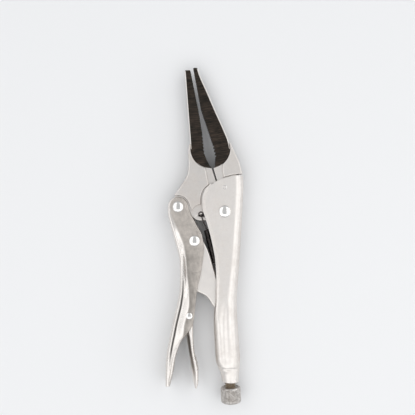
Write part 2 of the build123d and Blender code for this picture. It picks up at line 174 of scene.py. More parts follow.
def flow(at, places, values):
    """A smooth value at each place: cubic Hermite pieces through the stations.

    The slope at a station is the harmonic mean of the rises each side of it, and zero at a turn,
    so the curve never overshoots its stations.
    """
    span = np.diff(places)
    rise = np.diff(values) / span
    product = rise[1:] * rise[:-1]
    mean = np.divide(2 * product, rise[1:] + rise[:-1], out=np.zeros_like(product), where=product > 0)
    slope = np.concatenate([rise[:1], mean, rise[-1:]])
    piece = np.clip(np.searchsorted(places, at, side="right") - 1, 0, len(span) - 1)
    return hermite(values, slope, span[piece], piece, (at - places[piece]) / span[piece])


def distances(path):
    """How far along a path each of its points lies."""
    return np.concatenate([[0], np.cumsum(np.linalg.norm(np.diff(path, axis=0), axis=1))])


def curve(points, count):
    """Points evenly along a smooth plane curve: Catmull-Rom slopes on the chord lengths."""
    points = np.asarray(points, float)
    reach = distances(points)
    slope = np.gradient(points, reach, axis=0)
    at = np.linspace(0, reach[-1], count)
    piece = np.clip(np.searchsorted(reach, at, side="right") - 1, 0, len(reach) - 2)
    span = (reach[piece + 1] - reach[piece])[:, None]
    return hermite(points, slope, span, piece, (at - reach[piece])[:, None] / span)


def arc(centre, radius, first, last, count):
    """Points on a circle's arc, from the first to the last angle in degrees."""
    turn = np.radians(np.linspace(first, last, count))
    return np.c_[centre[0] + radius * np.cos(turn), centre[1] + radius * np.sin(turn)]


def saw_edge(start, end, pitch, depth):
    """A saw edge from start to end: crests on the line, roots sunk to the right of the way along it."""
    start = np.asarray(start, float)
    way = np.asarray(end, float) - start
    length = np.hypot(*way)
    along = way / length
    count = 2 * round(length / pitch)
    step = np.arange(count + 1)
    right = np.array([along[1], -along[0]])
    return start + along * (step[:, None] * length / count) + right * np.where(step % 2, depth, 0)[:, None]


def join(*runs):
    """One closed outline from runs of points, without the doubles where they meet."""
    points = np.concatenate([np.asarray(run, float).reshape(-1, 2) for run in runs])
    ahead = np.roll(points, -1, axis=0)
    return points[np.hypot(*(ahead - points).T) > 1e-4]


def ease(t):
    """A smooth step from 0 to 1 as t goes from 0 to 1."""
    t = np.clip(t, 0, 1)
    return t * t * (3 - 2 * t)


def rounded(t):
    """A quarter ellipse: 0 at t = 0, and steeper and steeper up to 1 at t = 1."""
    return 1 - np.sqrt(1 - np.clip(t, 0, 1) ** 2)


def hump(offset, width):
    """A bell curve: 1 where offset is 0, and fading over width."""
    return np.exp(-(offset / width) ** 2)


def cross(a, b):
    """The cross product of plane vectors."""
    return a[..., 0] * b[..., 1] - a[..., 1] * b[..., 0]


# --- meshes
def enclosed(points, faces):
    """The signed volume inside the faces, positive when they point outwards: a sum over fans."""
    total = 0.0
    for face in faces:
        corner = points[np.asarray(face)]
        side = np.cross(corner[..., 1:-1, :], corner[..., 2:, :])
        total += float((corner[..., :1, :] * side).sum())
    return total


def tube_shell(points):
    """A closed shell (points, quads, caps) from rows of points, each row a ring.

    Quads join neighbouring rows, a cap closes each end, and all faces point outwards.
    """
    rows, columns = points.shape[:2]
    points = points.reshape(-1, 3)
    start = np.arange(rows - 1)[:, None] * columns
    column = np.arange(columns)
    beside = (column + 1) % columns
    quads = np.stack([start + column, start + beside, start + columns + beside, start + columns + column],
                     axis=-1).reshape(-1, 4)
    caps = [column[::-1], column + (rows - 1) * columns]
    if enclosed(points, [quads, *caps]) < 0:
        quads = quads[:, ::-1]
        caps = [cap[::-1] for cap in caps]
    return points, quads, caps


def add_object(name, data):
    """A new object in the scene."""
    item = bpy.data.objects.new(name, data)
    bpy.context.scene.collection.objects.link(item)
    return item


def make_piece(name, shells, material):
    """One object from closed shells in plan millimetres, set round the main pivot in metres."""
    faces, points, base = [], [], 0
    for shell_points, quads, caps in shells:
        faces += (quads + base).tolist()
        faces += [(cap + base).tolist() for cap in caps]
        points.append(shell_points)
        base += len(shell_points)
    place = np.concatenate(points) * MM + ORIGIN
    mesh = bpy.data.meshes.new(name)
    mesh.from_pydata(place.tolist(), [], faces)
    mesh.polygons.foreach_set("use_smooth", [len(face) == 4 for face in faces])
    mesh.set_sharp_from_angle(angle=CREASE)
    mesh.update()
    mesh.materials.append(material)
    return add_object(name, mesh)


def mark(piece, name, rule):
    """Stores rule(x, y, z), worked out in plan millimetres at every vertex, as an attribute."""
    place = np.empty(len(piece.data.vertices) * 3)
    piece.data.vertices.foreach_get("co", place)
    x, y, z = ((place.reshape(-1, 3) - ORIGIN) / MM).T
    layer = piece.data.attributes.new(name, "FLOAT", "POINT")
    layer.data.foreach_set("value", np.clip(rule(x, y, z), 0, 1))


def settle(piece, body, slot, *nodes):
    """A finished piece rides on its body, in place of its CAD nodes where it names any. Its slot argument is
    not used.
    """
    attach(piece, body)
    if nodes:
        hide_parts(*nodes)


def width_inside(outline, inward):
    """How far each outline point sees along its inward ray before it meets the outline again."""
    ray = inward / np.hypot(*inward.T)[:, None]
    side = np.roll(outline, -1, axis=0) - outline
    offset = outline[None, :, :] - outline[:, None, :]
    turn = cross(ray[:, None, :], side[None, :, :])
    turn = np.where(np.abs(turn) < 1e-9, 1e-9, turn)
    reach = cross(offset, side[None, :, :]) / turn
    share = cross(offset, ray[:, None, :]) / turn
    seen = (share > -0.01) & (share < 1.01) & (reach > 0.02)
    return np.where(seen, reach, FAR).min(axis=1)


def mitres(outline):
    """At each outline point, the inward move that sets both of its sides back by one."""
    forward = np.roll(outline, -1, axis=0) - outline
    forward /= np.hypot(*forward.T)[:, None]
    behind = np.roll(forward, 1, axis=0)
    inward = np.c_[-forward[:, 1] - behind[:, 1], forward[:, 0] + behind[:, 0]]
    return inward / np.maximum(1 + (forward * behind).sum(axis=1), 0.5)[:, None]


def fitted_edge(outline, edge):
    """The outline and its edge rounds, fitted so that the inset rings never cross.

    A round is at most 0.36 of the width there and grows slowly away from a narrow place. A sharp
    corner that turns by t sets its inset point back by edge * tan(t / 2), so its round also fits
    the way to the next one, and near it a blunt point's round is smaller or the point is dropped.
    """
    gap = np.hypot(*(outline[:, None, :] - outline[None, :, :]).transpose(2, 0, 1))
    ahead = np.roll(outline, -1, axis=0) - outline
    behind = np.roll(ahead, 1, axis=0)
    turn = np.arctan2(cross(behind, ahead), (behind * ahead).sum(axis=1))
    sharp = turn > SHARP_TURN
    others = sharp[None, :] & (gap > 1e-6)
    setback = np.tan(np.clip(turn, 0.1, 2.4) / 2)
    next_sharp = np.where(others, gap, FAR).min(axis=1)
    edge = np.minimum(edge, 0.36 * width_inside(outline, mitres(outline)))
    edge = np.where(sharp, np.minimum(edge, 0.28 * next_sharp / setback), edge)
    edge = (edge[None, :] + 0.35 * gap).min(axis=1)
    room = np.where(others, 0.8 * gap / setback[None, :], FAR).min(axis=1)
    edge = np.where(sharp, edge, np.minimum(edge, room))
    passed = ((gap < 1.5 * (edge * setback)[None, :]) & sharp[None, :]).any(axis=1) & ~sharp
    return outline[~passed], edge[~passed]


def plate(outline, half, edge, scale=None, steps=5):
    """A closed plate: an outline carried round a section with quarter-round edges.

    A ring is the outline moved inwards by edge * (1 - cos a), at a height of
    half - edge * (1 - sin a), for a from 0 to 90 degrees, and the lower face is its mirror.
    A last ring, a little further in, keeps each flat face's shading flat. edge may differ from
    point to point, and scale(x, y) thins the plate where the forging tapers.
    """
    outline = np.asarray(outline, float)
    edge = np.broadcast_to(edge, len(outline))
    if cross(outline, np.roll(outline, -1, axis=0)).sum() < 0:
        outline, edge = outline[::-1], edge[::-1]
    outline, edge = fitted_edge(outline, edge)
    inward = mitres(outline)
    edge = edge[:, None]
    turn = np.linspace(0, math.pi / 2, steps)
    inset = np.append(1 - np.cos(turn), 1.15)
    height = np.append(1 - np.sin(turn), 0.0)
    rings = []
    for side in (-1, 1):
        for inside, down in list(zip(inset, height))[::side]:
            level = side * (half - edge[:, 0] * down)
            rings.append(np.c_[outline + inward * edge * inside, level])
    points = np.stack(rings)
    if scale is not None:
        points[..., 2] *= scale(points[..., 0], points[..., 1])
    return tube_shell(points)


def turned(profile, centre, axis, count, ripple=lambda angle, height: 0):
    """A closed turned shell: radius and height pairs carried round an axis, closed at both ends.

    ripple(angle, height) is the depth of the knurl or thread there, taken off the radius.
    """
    profile = np.asarray(profile, float)
    axis = np.asarray(axis, float) / np.linalg.norm(axis)
    across = np.array(UP if abs(axis[2]) < 0.9 else (1, 0, 0), float)
    across -= axis * (across @ axis)
    across /= np.linalg.norm(across)
    beside = np.cross(axis, across)
    angle = np.arange(count) * 2 * math.pi / count
    radius = profile[:, :1] - ripple(angle[None, :], profile[:, 1:]) + 0 * angle
    spoke = np.cos(angle)[:, None] * across + np.sin(angle)[:, None] * beside
    return tube_shell(centre + radius[..., None] * spoke + profile[:, 1, None, None] * axis)


def channel(open_edge, back_edge, base, crest, foot, corner, wall, lip, shape, shut=0.0, front=0.03,
            bulge=0.0):
    """A pressed channel: a U section carried along the tool, with its wall as thick as the sheet.

    Each row crosses from the open edge to the back. The half section is flat at height base as far
    as foot, climbs nearly straight to crest, turns through a quarter circle of radius corner and
    goes down the back to the middle plane. Where shut is above 0, a front wall grows from a corner
    of radius front towards the middle plane and meets its mirror. The inner face is the outer one
    moved along its normal by wall, and shape(along, width) is added to both. The open edge falls
    away in an ellipse lip wide and half as deep, with a shallow rolled line behind it. bulge bows
    the rows in plan.
    """
    rows = len(open_edge)
    width = np.hypot(*(back_edge - open_edge).T)

    def spread(count, last=False):
        return np.linspace(0, 1, count, endpoint=last)[None, :]

    base, crest, foot, corner, wall, front, shut, run, bulge = (
        np.broadcast_to(values, rows)[:, None]
        for values in (base, crest, foot, corner, wall, front, shut, width, bulge))
    parts = []
    if shut.max() > 0:
        seam = (base - front) * (1 - shut) + 0.1 * shut
        quarter = spread(10) * math.pi / 2
        parts.append((0 * spread(10), seam + (base - front - seam) * spread(10)))
        parts.append((front * (1 - np.cos(quarter)), base - front * (1 - np.sin(quarter))))
    near = np.minimum(2.2, 0.6 * (foot - front))
    parts.append((front + near * spread(14), base))
    parts.append((front + near + (foot - front - near) * spread(14), base))
    climb = 0.65 * spread(18) + 0.35 * ease(spread(18))
    parts.append((foot + (run - corner - foot) * spread(18), base + (crest - base) * climb))
    bend = spread(14) * math.pi / 2
    parts.append((run - corner * (1 - np.sin(bend)), crest - corner * (1 - np.cos(bend))))
    parts.append((run + 0 * spread(8), (crest - corner) * (1 - spread(8, last=True))))
    along, up = np.concatenate([np.broadcast_arrays(*part) for part in parts], axis=2)

    step_a = np.gradient(along, axis=1)
    step_u = np.gradient(up, axis=1)
    length = np.maximum(np.hypot(step_a, step_u), 1e-9)
    inner_a = along + wall * step_u / length
    inner_u = np.maximum(up - wall * step_a / length, 0)
    lift = shape(along, run)
    up = up + lift
    inner_u = np.maximum(inner_u + lift, 0)
    inner_u[:, -1] = 0
    up[:, -1] = 0
    up = up - (0.5 * lip * rounded(1 - along / lip) + 0.22 * hump(along - lip - 0.3, 0.32)) * (1 - shut)

    loop_a = np.concatenate([along, along[:, -2::-1], inner_a, inner_a[:, -2::-1]], axis=1)
    loop_u = np.concatenate([up, -up[:, -2::-1], -inner_u, inner_u[:, -2::-1]], axis=1)
    share = (loop_a / run)[..., None]
    way = (back_edge - open_edge)[:, None, :]
    flat = open_edge[:, None, :] + way * share
    normal = np.stack([-way[..., 1], way[..., 0]], axis=-1) / run[..., None]
    flat = flat + normal * (4 * share * (1 - share) * bulge[..., None])
    return tube_shell(np.concatenate([flat, loop_u[..., None]], axis=-1))


def wire(path, radius, count):
    """A round wire along a 3-D path: circles square to it, turned as little as possible."""
    path = np.asarray(path, float)
    along = np.gradient(path, axis=0)
    along /= np.linalg.norm(along, axis=1)[:, None]
    across = np.cross(along, [0.31, 0.17, 0.93])
    across /= np.linalg.norm(across, axis=1)[:, None]
    beside = np.cross(along, across)
    angle = (np.arange(count) * 2 * math.pi / count)[:, None]
    spoke = np.cos(angle) * across[:, None] + np.sin(angle) * beside[:, None]
    return tube_shell(path[:, None] + radius * spoke)


def cut(piece, *shells):
    """Takes closed shells away from a piece, with a cutter that is then removed."""
    cutter = make_piece("cutter", shells, None)
    modifier = piece.modifiers.new("cut", "BOOLEAN")
    modifier.operation = "DIFFERENCE"
    modifier.solver = "MANIFOLD"
    modifier.object = cutter
    result = piece.evaluated_get(bpy.context.evaluated_depsgraph_get())
    piece.data = bpy.data.meshes.new_from_object(result)
    piece.modifiers.clear()
    bpy.data.objects.remove(cutter)


# --- shader maths
def operation(kind, swapped=False):
    """An operator of Wire: it adds a Math node of that kind, its two values swapped if asked."""
    def add_node(self, other):
        first, second = (other, self) if swapped else (self, other)
        return self.finish.node("ShaderNodeMath", {"operation": kind}, {0: first, 1: second})
    return add_node


class Wire:
    """A shader socket that takes part in arithmetic: each operation adds its Math node."""

    def __init__(self, finish, socket):
        self.finish = finish
        self.socket = socket

    __add__ = operation("ADD")
    __radd__ = operation("ADD", True)
    __sub__ = operation("SUBTRACT")
    __rsub__ = operation("SUBTRACT", True)
    __mul__ = operation("MULTIPLY")
    __rmul__ = operation("MULTIPLY", True)


class Finish:
    """A material under construction: one Principled surface and the nodes that feed it."""

    def __init__(self, name, metallic=1.0):
        self.material = bpy.data.materials.new(name)
        self.material.use_nodes = True
        self.tree = self.material.node_tree
        self.tree.nodes.clear()
        self.surface = self.tree.nodes.new("ShaderNodeBsdfPrincipled")
        output = self.tree.nodes.new("ShaderNodeOutputMaterial")
        self.tree.links.new(self.surface.outputs[0], output.inputs[0])
        self.surface.inputs["Metallic"].default_value = metallic
        self.place = self.node("ShaderNodeTexCoord", {}, {}, "Object")

    def node(self, kind, settings, inputs, output=0):
        """Adds a node: its settings first, such as a ramp's two stops, then its sockets' values or links."""
        node = self.tree.nodes.new(kind)
        for index, (position, value) in enumerate(settings.pop("stops", ())):
            node.color_ramp.elements[index].position = position
            node.color_ramp.elements[index].color = (value, value, value, 1.0)
        for key, value in settings.items():
            setattr(node, key, value)
        for key, value in inputs.items():
            self.feed(node.inputs[key], value)
        return Wire(self, node.outputs[output])

    def feed(self, socket, value):
        """A socket takes a link from a wire, or a plain number or colour."""
        if isinstance(value, Wire):
            self.tree.links.new(value.socket, socket)
        else:
            socket.default_value = value

    def set(self, **values):
        """Sets sockets of the surface by name, with underscores for spaces."""
        for name, value in values.items():
            self.feed(self.surface.inputs[name.replace("_", " ")], value)

    def noise(self, size, detail=3.0, rough=0.55, stretch=(1, 1, 1), turn=0.0):
        """Noise whose features are about size millimetres, stretched along axes turned about Z."""
        place = self.node("ShaderNodeMapping", {"vector_type": "TEXTURE"},
                          {"Vector": self.place, "Rotation": (0, 0, turn), "Scale": stretch})
        return self.node("ShaderNodeTexNoise", {}, {
            "Vector": place, "Scale": 1 / (size * MM), "Detail": detail, "Roughness": rough})

    def attribute(self, name):
        """A value stored at the vertices, and 0 on a piece that hasn't stored it."""
        return self.node("ShaderNodeAttribute", {"attribute_name": name}, {}, "Fac")

    def ramp(self, value, low, high, top=1.0):
        """A grey ramp: 0 up to low, and rising to top at high."""
        return self.node("ShaderNodeValToRGB", {"stops": ((low, 0.0), (high, top))}, {"Fac": value})

    def pits(self, size, rim):
        """0 at scattered points about size millimetres apart, and 1 beyond their rims."""
        cells = self.node("ShaderNodeTexVoronoi", {}, {"Vector": self.place, "Scale": 1 / (size * MM)})
        return self.ramp(cells, 0.05, rim)

    def blend(self, factor, first, second):
        """One colour into another by a factor."""
        return self.node("ShaderNodeMix", {"data_type": "RGBA"}, {0: factor, 6: first, 7: second}, 2)

    def made(self, base, rough, height, depth):
        """The material with its colour, its roughness, and a bump from a height, depth millimetres deep."""
        normal = self.node("ShaderNodeBump", {}, {"Distance": depth * MM, "Height": height})
        self.set(Base_Color=base, Roughness=rough, Normal=normal)
        return self.material


def shade(value, factor=1.0):
    """A four-part colour from a property, made darker or lighter by a factor."""
    return tuple(min(part * factor, 1.0) for part in value[:3]) + (1.0,)


# --- finishes
def plated_steel(name, dim, rough, grain, stains):
    """Satin nickel plate: cloudy colour, fine grain, scattered pits and a varying gloss."""
    finish = Finish(name)
    tint = colours()
    cloud = finish.noise(14, detail=4)
    patch = finish.noise(3.2, detail=4, rough=0.65)
    fine = finish.noise(0.35, detail=2)
    dirt = finish.ramp(cloud * 0.55 + patch * 0.45, 0.42, 0.66)
    base = finish.blend(dirt * stains, shade(tint.plate, dim), shade(tint.stain))
    height = fine * 0.5 + patch * 0.14 + finish.pits(0.9, 0.16) * 0.3
    return finish.made(base, rough + patch * 0.16 - 0.08 + dirt * 0.08, height, 0.05 * grain)


def worn_and_shaded_sheet(name, dim=1.0):
    """The lever's sheet: bright rolled back, a flat panel dulled by rubbing and handling, and painted shade.

    Three attributes steer it: worn_panel_and_shade is 1 on the lever's worn panel, and on the release it lays
    the dimmed panel colour over the open half as painted shade; painted_panel_shade is a painted shade that
    grows towards the panel's dark side at the crease by its foot; and painted_crest_shade is a painted dark
    line of shade along the crest of the rolled back.
    """
    finish = Finish(name)
    tint = colours()
    # dim darkens the panel colour; the release's 0.62 makes it a painted shade.
    panel = shade(tint.panel, dim)
    mask = finish.attribute("worn_panel_and_shade")
    cloud = finish.noise(9, detail=5, rough=0.6)
    patch = finish.noise(2.2, detail=5, rough=0.7)
    fine = finish.noise(0.35, detail=2)
    streak = finish.noise(1.6, detail=3, stretch=(1, 5, 1), turn=0.25)
    dirt = finish.ramp(cloud * 0.5 + patch * 0.3 + streak * 0.2, 0.36, 0.64)
    # Noise dirt, plus a painted shade that darkens the panel towards the crease at its foot.
    dirt_and_shade = dirt * 0.75 + finish.attribute("painted_panel_shade") * 0.6
    # The mask gives the lever's worn panel its own colour, and on the release it lays the dimmed panel colour
    # over the open half as painted shade.
    sheet = finish.blend(mask, finish.blend(dirt * 0.35, shade(tint.plate), shade(tint.stain)),
                         finish.blend(dirt_and_shade, panel, shade(panel, 0.48)))
    # Painted shade: a dark line along the crest of the rolled back.
    base = finish.blend(finish.attribute("painted_crest_shade"), sheet, shade(panel, 0.12))
    rough = 0.26 + mask * 0.14 + patch * 0.12 - 0.04 + dirt * mask * 0.1
    return finish.made(base, rough, fine * 0.45 + patch * 0.2 + finish.pits(0.8, 0.18) * 0.3, 0.035)


def milled_black(name, turn):
    """Black oxide over milled steel, browned in places, and the plated side left round it.

    Fine cutter lines run across the nose, and the attribute plated_side is 1 on the plate.
    """
    finish = Finish(name)
    tint = colours()
    side = finish.attribute("plated_side")
    lines = finish.noise(0.42, detail=2, rough=0.6, stretch=(14, 1, 14), turn=turn)
    broad = finish.noise(1.3, detail=2, stretch=(9, 1, 9), turn=turn)
    worn = finish.ramp(lines * 0.6 + broad * 0.4, 0.45, 0.72)
    brown = finish.ramp(finish.noise(7, detail=4), 0.45, 0.7)
    base = finish.blend(brown * 0.6, shade(tint.black), shade(tint.rust))
    milled = finish.blend(worn * 0.75, base, shade(tint.rust, 3.4))
    finish.set(Metallic=0.75 + side * 0.25)
    rough = 0.34 + finish.noise(0.7) * 0.2 - 0.1 + brown * 0.12
    return finish.made(finish.blend(side, milled, shade(tint.plate)), rough, lines * 0.8 + broad * 0.5, 0.09)


def polished_steel(name):
    """Bright tumbled domes with a few fine scratches."""
    finish = Finish(name)
    bright = colours().bright
    patch = finish.noise(1.6)
    scratch = finish.noise(0.3, detail=1, stretch=(1, 12, 1), turn=0.8)
    base = finish.blend(finish.ramp(patch, 0.45, 0.75, 0.5), shade(bright), shade(bright, 0.8))
    return finish.made(base, 0.09 + patch * 0.08, patch * 0.8 + scratch * 0.2, 0.02)


def machined_steel(name, tint, dark, rough):
    """Turned steel with thin plating: colour and gloss vary with handling and oil."""
    finish = Finish(name)
    patch = finish.noise(1.8, detail=4)
    fine = finish.noise(0.25, detail=2)
    base = finish.blend(finish.ramp(patch, 0.4, 0.68), tint, dark)
    return finish.made(base, rough + patch * 0.2 - 0.1, fine * 0.5 + patch * 0.3, 0.02)


# --- properties
def length(name, text, default, low=0.05):
    """A size property in millimetres on the tool."""
    return FloatProperty(name=name, description=text + ", mm", default=default, min=low)


def tone(name, text, default):
    """A colour property."""
    return FloatVectorProperty(name=name, description=text, subtype="COLOR", size=3, default=default, min=0,
                               max=1)


class PliersSizes(PropertyGroup):
    """Sizes that a user might change, in millimetres on the tool."""

    sheet: length("Sheet", "Thickness of the pressed sheet", 1.6, 0.5)
    lip: length("Lip", "Width of the sheet's rounded edge", 1.15, 0.1)
    valley: length("Valley", "Depth of the groove along the handle", 0.55, 0)
    edge: length("Jaw edge", "Round on the forging's edges", 0.75, 0.1)
    tooth_pitch: length("Tooth pitch", "Pitch of the fine teeth", 1.2, 0.4)
    tooth_depth: length("Tooth depth", "Depth of the fine teeth", 0.5, 0)
    coil_turns: IntProperty(name="Coil turns", description="Turns of the opening spring", default=24, min=4)
    coil_radius: length("Coil radius", "Middle radius of the coil", 1.9, 0.5)
    wire_radius: length("Wire radius", "Radius of the spring wire", 0.42)
    thread_pitch: length("Thread pitch", "Pitch of the screw", 1.25, 0.4)
    thread_depth: length("Thread depth", "Depth of the thread", 0.6, 0)
    knurls: IntProperty(name="Knurls", description="Diamonds round the knob", default=34, min=8)
    knurl_depth: length("Knurl depth", "Depth of the knurl", 0.34, 0)


class PliersColours(PropertyGroup):
    """Colours of the tool's finishes."""

    plate: tone("Plate", "Nickel plate", (0.83, 0.79, 0.75))
    stain: tone("Stain", "Dulled plate", (0.61, 0.56, 0.515))
    panel: tone("Panel", "The lever's rubbed panel", (0.62, 0.57, 0.52))
    black: tone("Black", "Oxide on the noses", (0.015, 0.013, 0.010))
    rust: tone("Brown", "Browned oxide", (0.034, 0.024, 0.018))
    bright: tone("Bright", "Polished rivets", (0.88, 0.86, 0.83))
    thread: tone("Thread", "The screw's steel", (0.42, 0.35, 0.27))
    spring: tone("Spring", "Oiled spring wire", (0.09, 0.08, 0.075))


def sizes():
    """The sizes in use."""
    return bpy.context.scene.pliers_sizes


def colours():
    """The colours in use."""
    return bpy.context.scene.pliers_colours


# --- pieces
class MESH_OT_pliers_fixed_handle(Operator):
    """Presses the fixed handle: an open channel that closes into a tube and a round neck"""

    bl_idname = "mesh.pliers_fixed_handle"
    bl_label = "Fixed Handle"

    def execute(self, context):
        size = sizes()
        mean_y = (HANDLE_STATIONS[:, 1] + HANDLE_STATIONS[:, 3]) / 2
        at = np.linspace(mean_y[0], mean_y[-1], 260)
        left_x, left_y, right_x, right_y, half, front = (
            flow(-at, -mean_y, column) for column in HANDLE_STATIONS.T)
        bulge = 1.7 * ease((at - 2.0) / 19.0)
        neck = ease((-99 - at) / 12)
        trim = 0.5 * rounded(1 - (at - mean_y[-1]) / 0.6)
        half = half - trim
        open_edge = np.c_[left_x + trim, left_y]
        back_edge = np.c_[right_x - trim, right_y]
        width = np.hypot(*(back_edge - open_edge).T)
        corner = np.minimum(half * 0.985, width * 0.48)
        front = np.minimum(front, half * 0.97)
        foot = np.maximum(width - corner - 3.0, front + 0.5)

        def shape(along, run):
            tube = ease((-58 - at) / 14) * ease((at + 107) / 8)
            middle = np.interp(at, [-100, -60], [6.3, 6.6])
            groove = size.valley * hump(along - middle[:, None], 2.0) * tube[:, None]
            flare = 0.30 * hump(along, 1.2) * ease((at + 62) / 10)[:, None]
            return flare - groove - 0.34 * hump(at + 106.2, 0.75)[:, None]

        body = channel(open_edge, back_edge, half, half, foot, corner, size.sheet + 0.2 * neck, size.lip,
                       shape, shut=ease((-72.6 - at) / 4.4), front=front, bulge=bulge)
        tab = plate([(-4.5, -42.3), (-3.3, -42.3), (-3.3, -39.7), (-4.5, -39.7)], 2.6, 0.3)
        tab[0][:, 2] += 1.9
        steel = plated_steel("satin_plate", 1, 0.38, 0.9, 0.45)
        handle = make_piece("fixed_handle_sheet", [body, tab], steel)
        settle(handle, "fixed_side", "plated_sheet", "fixed_handle")
        return {"FINISHED"}


def lever_rows(count):
    """Rows down the lever handle: plan heights with the back, crest, foot and panel edge.

    The first rows go round the ear: at an angle a from its top they are as wide as sin a gives.
    """
    low, last = LEVER_STATIONS[[0, -1], 0]
    turn = np.linspace(math.radians(6), math.radians(88), 26)
    round_y = LEVER_PIVOT[1] + EAR_END_RADIUS * np.cos(turn)
    across = EAR_END_RADIUS * np.sin(turn)
    centre = LEVER_PIVOT[0]
    ear = [centre - across, centre - across * 0.85, centre - across * 0.8, centre + across,
           np.full(len(turn), WALL_HALF)]
    down = np.linspace(low, last, count)
    rows = [flow(-down, -LEVER_STATIONS[:, 0], column) for column in LEVER_STATIONS.T[1:]]
    keep = round_y > low + 2.0
    joined = [np.concatenate([head[keep], tail]) for head, tail in zip(ear, rows)]
    return np.concatenate([round_y[keep], down]), joined


def crest_crease(x, y, crest_x):
    """The crease beside the rolled back's crest, strongest at mid-handle and gone at its ends."""
    return hump(x - crest_x - 0.3, 0.6) * ease((-30 - y) / 36) * ease((y + 108) / 20)


class MESH_OT_pliers_lever_handle(Operator):
    """Presses the lever handle: flat ears and panels that flare into a wide rolled back"""

    bl_idname = "mesh.pliers_lever_handle"
    bl_label = "Lever Handle"

    def execute(self, context):
        size = sizes()
        y, (back, crest_x, foot_x, edge_x, crest) = lever_rows(330)
        crest = crest - 0.4 * rounded(1 - (y - y[-1]) / 0.5)
        open_edge = np.c_[edge_x, y]
        back_edge = np.c_[back, y]
        base = WALL_HALF + 0.9 * ease((-80 - y) / 10)
        foot = np.maximum(edge_x - foot_x, 0.15)
        corner = crest_x - back
        wall = np.minimum(size.sheet, corner * 0.9)

        def shape(along, run):
            x = edge_x[:, None] - along
            reach = np.hypot(x - LEVER_PIVOT[0], y[:, None] - LEVER_PIVOT[1])
            rim = rounded((reach - EAR_END_RADIUS + size.lip) / size.lip)
            front = ease((y - LEVER_PIVOT[1] - 1.0) / 2.0)[:, None]
            dent = hump(y + 40.6, 0.5)[:, None] * ease((x + 21.6) / 1.6)
            return (-0.5 * size.lip * rim * front - 0.3 * dent
                    - 0.45 * crest_crease(x, y[:, None], crest_x[:, None]))

        body = channel(open_edge, back_edge, base, crest, foot, corner, wall, size.lip, shape)
        lever = make_piece("lever_handle_sheet", [body], worn_and_shaded_sheet("worn_and_shaded_plate"))
        ear_room = [(-45.0, -6.5), (-30.0, -4.5), (-30.0, 12.0), (-45.0, 12.0)]
        cut(lever, plate(ear_room, 4.1, 0.1))

        def behind_foot(x, at_y):
            return x - np.interp(-at_y, -y, foot_x)

        mark(lever, "worn_panel_and_shade", lambda px, py, pz: (
            ease((behind_foot(px, py) + 0.7) / 1.4) * (np.abs(pz) < 6.9)))
        # Painted shade: darker towards the crease at the panel's foot, fading out towards the ear.
        mark(lever, "painted_panel_shade", lambda px, py, pz: (
            np.exp(-np.clip(behind_foot(px, py), 0, 30) / 4.0) * ease((-14 - py) / 20)))
        # Painted shade: a dark line beside the crest of the rolled back, strongest at mid-handle.
        mark(lever, "painted_crest_shade", lambda px, py, pz: (
            1.5 * crest_crease(px, py, np.interp(-py, -y, crest_x)) * (pz * pz > 16)))
        settle(lever, "lever", "lever_sheet", "lever_handle")
        return {"FINISHED"}


def nose_taper(x, y):
    """How thin the nose is at a plan height, as a share of its thickness at the crotch."""
    reach = np.clip((y - NOSE_TAPER_FROM) / (NOSE_TIP_Y + 1 - NOSE_TAPER_FROM), 0, 1)
    return 1 - reach * (1 - NOSE_TIP_HALF / NOSE_HALF)


def forge_nose(body, start, crests, eye_depth, side, tip, back, eye, material):
    """A nose: coarse teeth in the eye, fine ones to the tip, a plated back and the eye's arc.

    side is the sign of the teeth's depth. Each tooth's point keeps a sharp edge, and the plate is
    bare within 0.6 mm of the back line.
    """
    size = sizes()
    fine = (size.tooth_pitch, side * size.tooth_depth)
    rows = ((COARSE_PITCH, side * eye_depth), fine, fine)
    teeth = np.concatenate([saw_edge(*ends, *row) for *ends, row in zip(crests, crests[1:], rows)])
    back = curve(back, 90)
    outline = join(start, teeth, tip, back, eye)
    gap = np.abs(outline[:, None, :] - teeth[None, :, :]).sum(axis=2).min(axis=1)
    nose = plate(outline, NOSE_HALF, np.where(gap < 1e-6, TOOTH_ROUND, SMOOTH_ROUND), nose_taper)
    piece = make_piece(body + "_nose", [nose], material)
    mark(piece, "plated_side", lambda x, y, z: (
        np.hypot(x[:, None] - back[None, :, 0], y[:, None] - back[None, :, 1]).min(axis=1) < 0.6))
    return piece


class MESH_OT_pliers_fixed_jaw(Operator):
    """Forges the fixed jaw: a toothed black nose and a thick plated body"""

    bl_idname = "mesh.pliers_fixed_jaw"
    bl_label = "Fixed Jaw"

    def execute(self, context):
        nose = forge_nose(
            "fixed_jaw", [(-6.4, 31.2)], [(-6.3, 36.4), (-8.2, 45.3), (-16.1, 69.1), (-21.3, 96.6)], 1.2, 1,
            [(-20.9, NOSE_TIP_Y), (-18.7, NOSE_TIP_Y)],
            [(-17.9, 96.2), (-16.9, 93.0), (-12.0, 81.7), (-6.6, 69.1), (-0.5, 55.5), (2.4, 48.3),
             (3.7, 42.6)],
            arc(EYE_CENTRE, EYE_RADIUS, 0, -81, 30), milled_black("black_nose_right", 0.16))
        settle(nose, "fixed_side", "jaw_steel", "fixed_jaw")

        rim = curve([(3.8, 46.8), (7.2, 39.2), (10.2, 32.3), (11.9, 25.3)], 30)
        seat = curve([(11.9, 25.3), (7.2, 24.9), (3.7, 24.2), (-0.75, 22.9)], 20)
        step = [(-0.75, 22.9), (-1.6, 28.2)]
        hollow = arc(EYE_CENTRE, EYE_RADIUS, -53.2, 12.0, 26)
        body = plate(join(rim, seat, step, hollow), JAW_HALF, sizes().edge)
        tail = plate(join([(-7.55, 29.3), (-4.9, 20.1), (-0.6, 6.6), (6.9, 2.0), (7.5, 22.0), (8.5, 29.0),
                           (1.0, 33.5)]), TAIL_HALF, 0.25)
        steel = plated_steel("forged_plate", 0.92, 0.36, 0.9, 0.55)
        settle(make_piece("fixed_jaw_body", [body, tail], steel), "fixed_side", "jaw_steel")
        return {"FINISHED"}


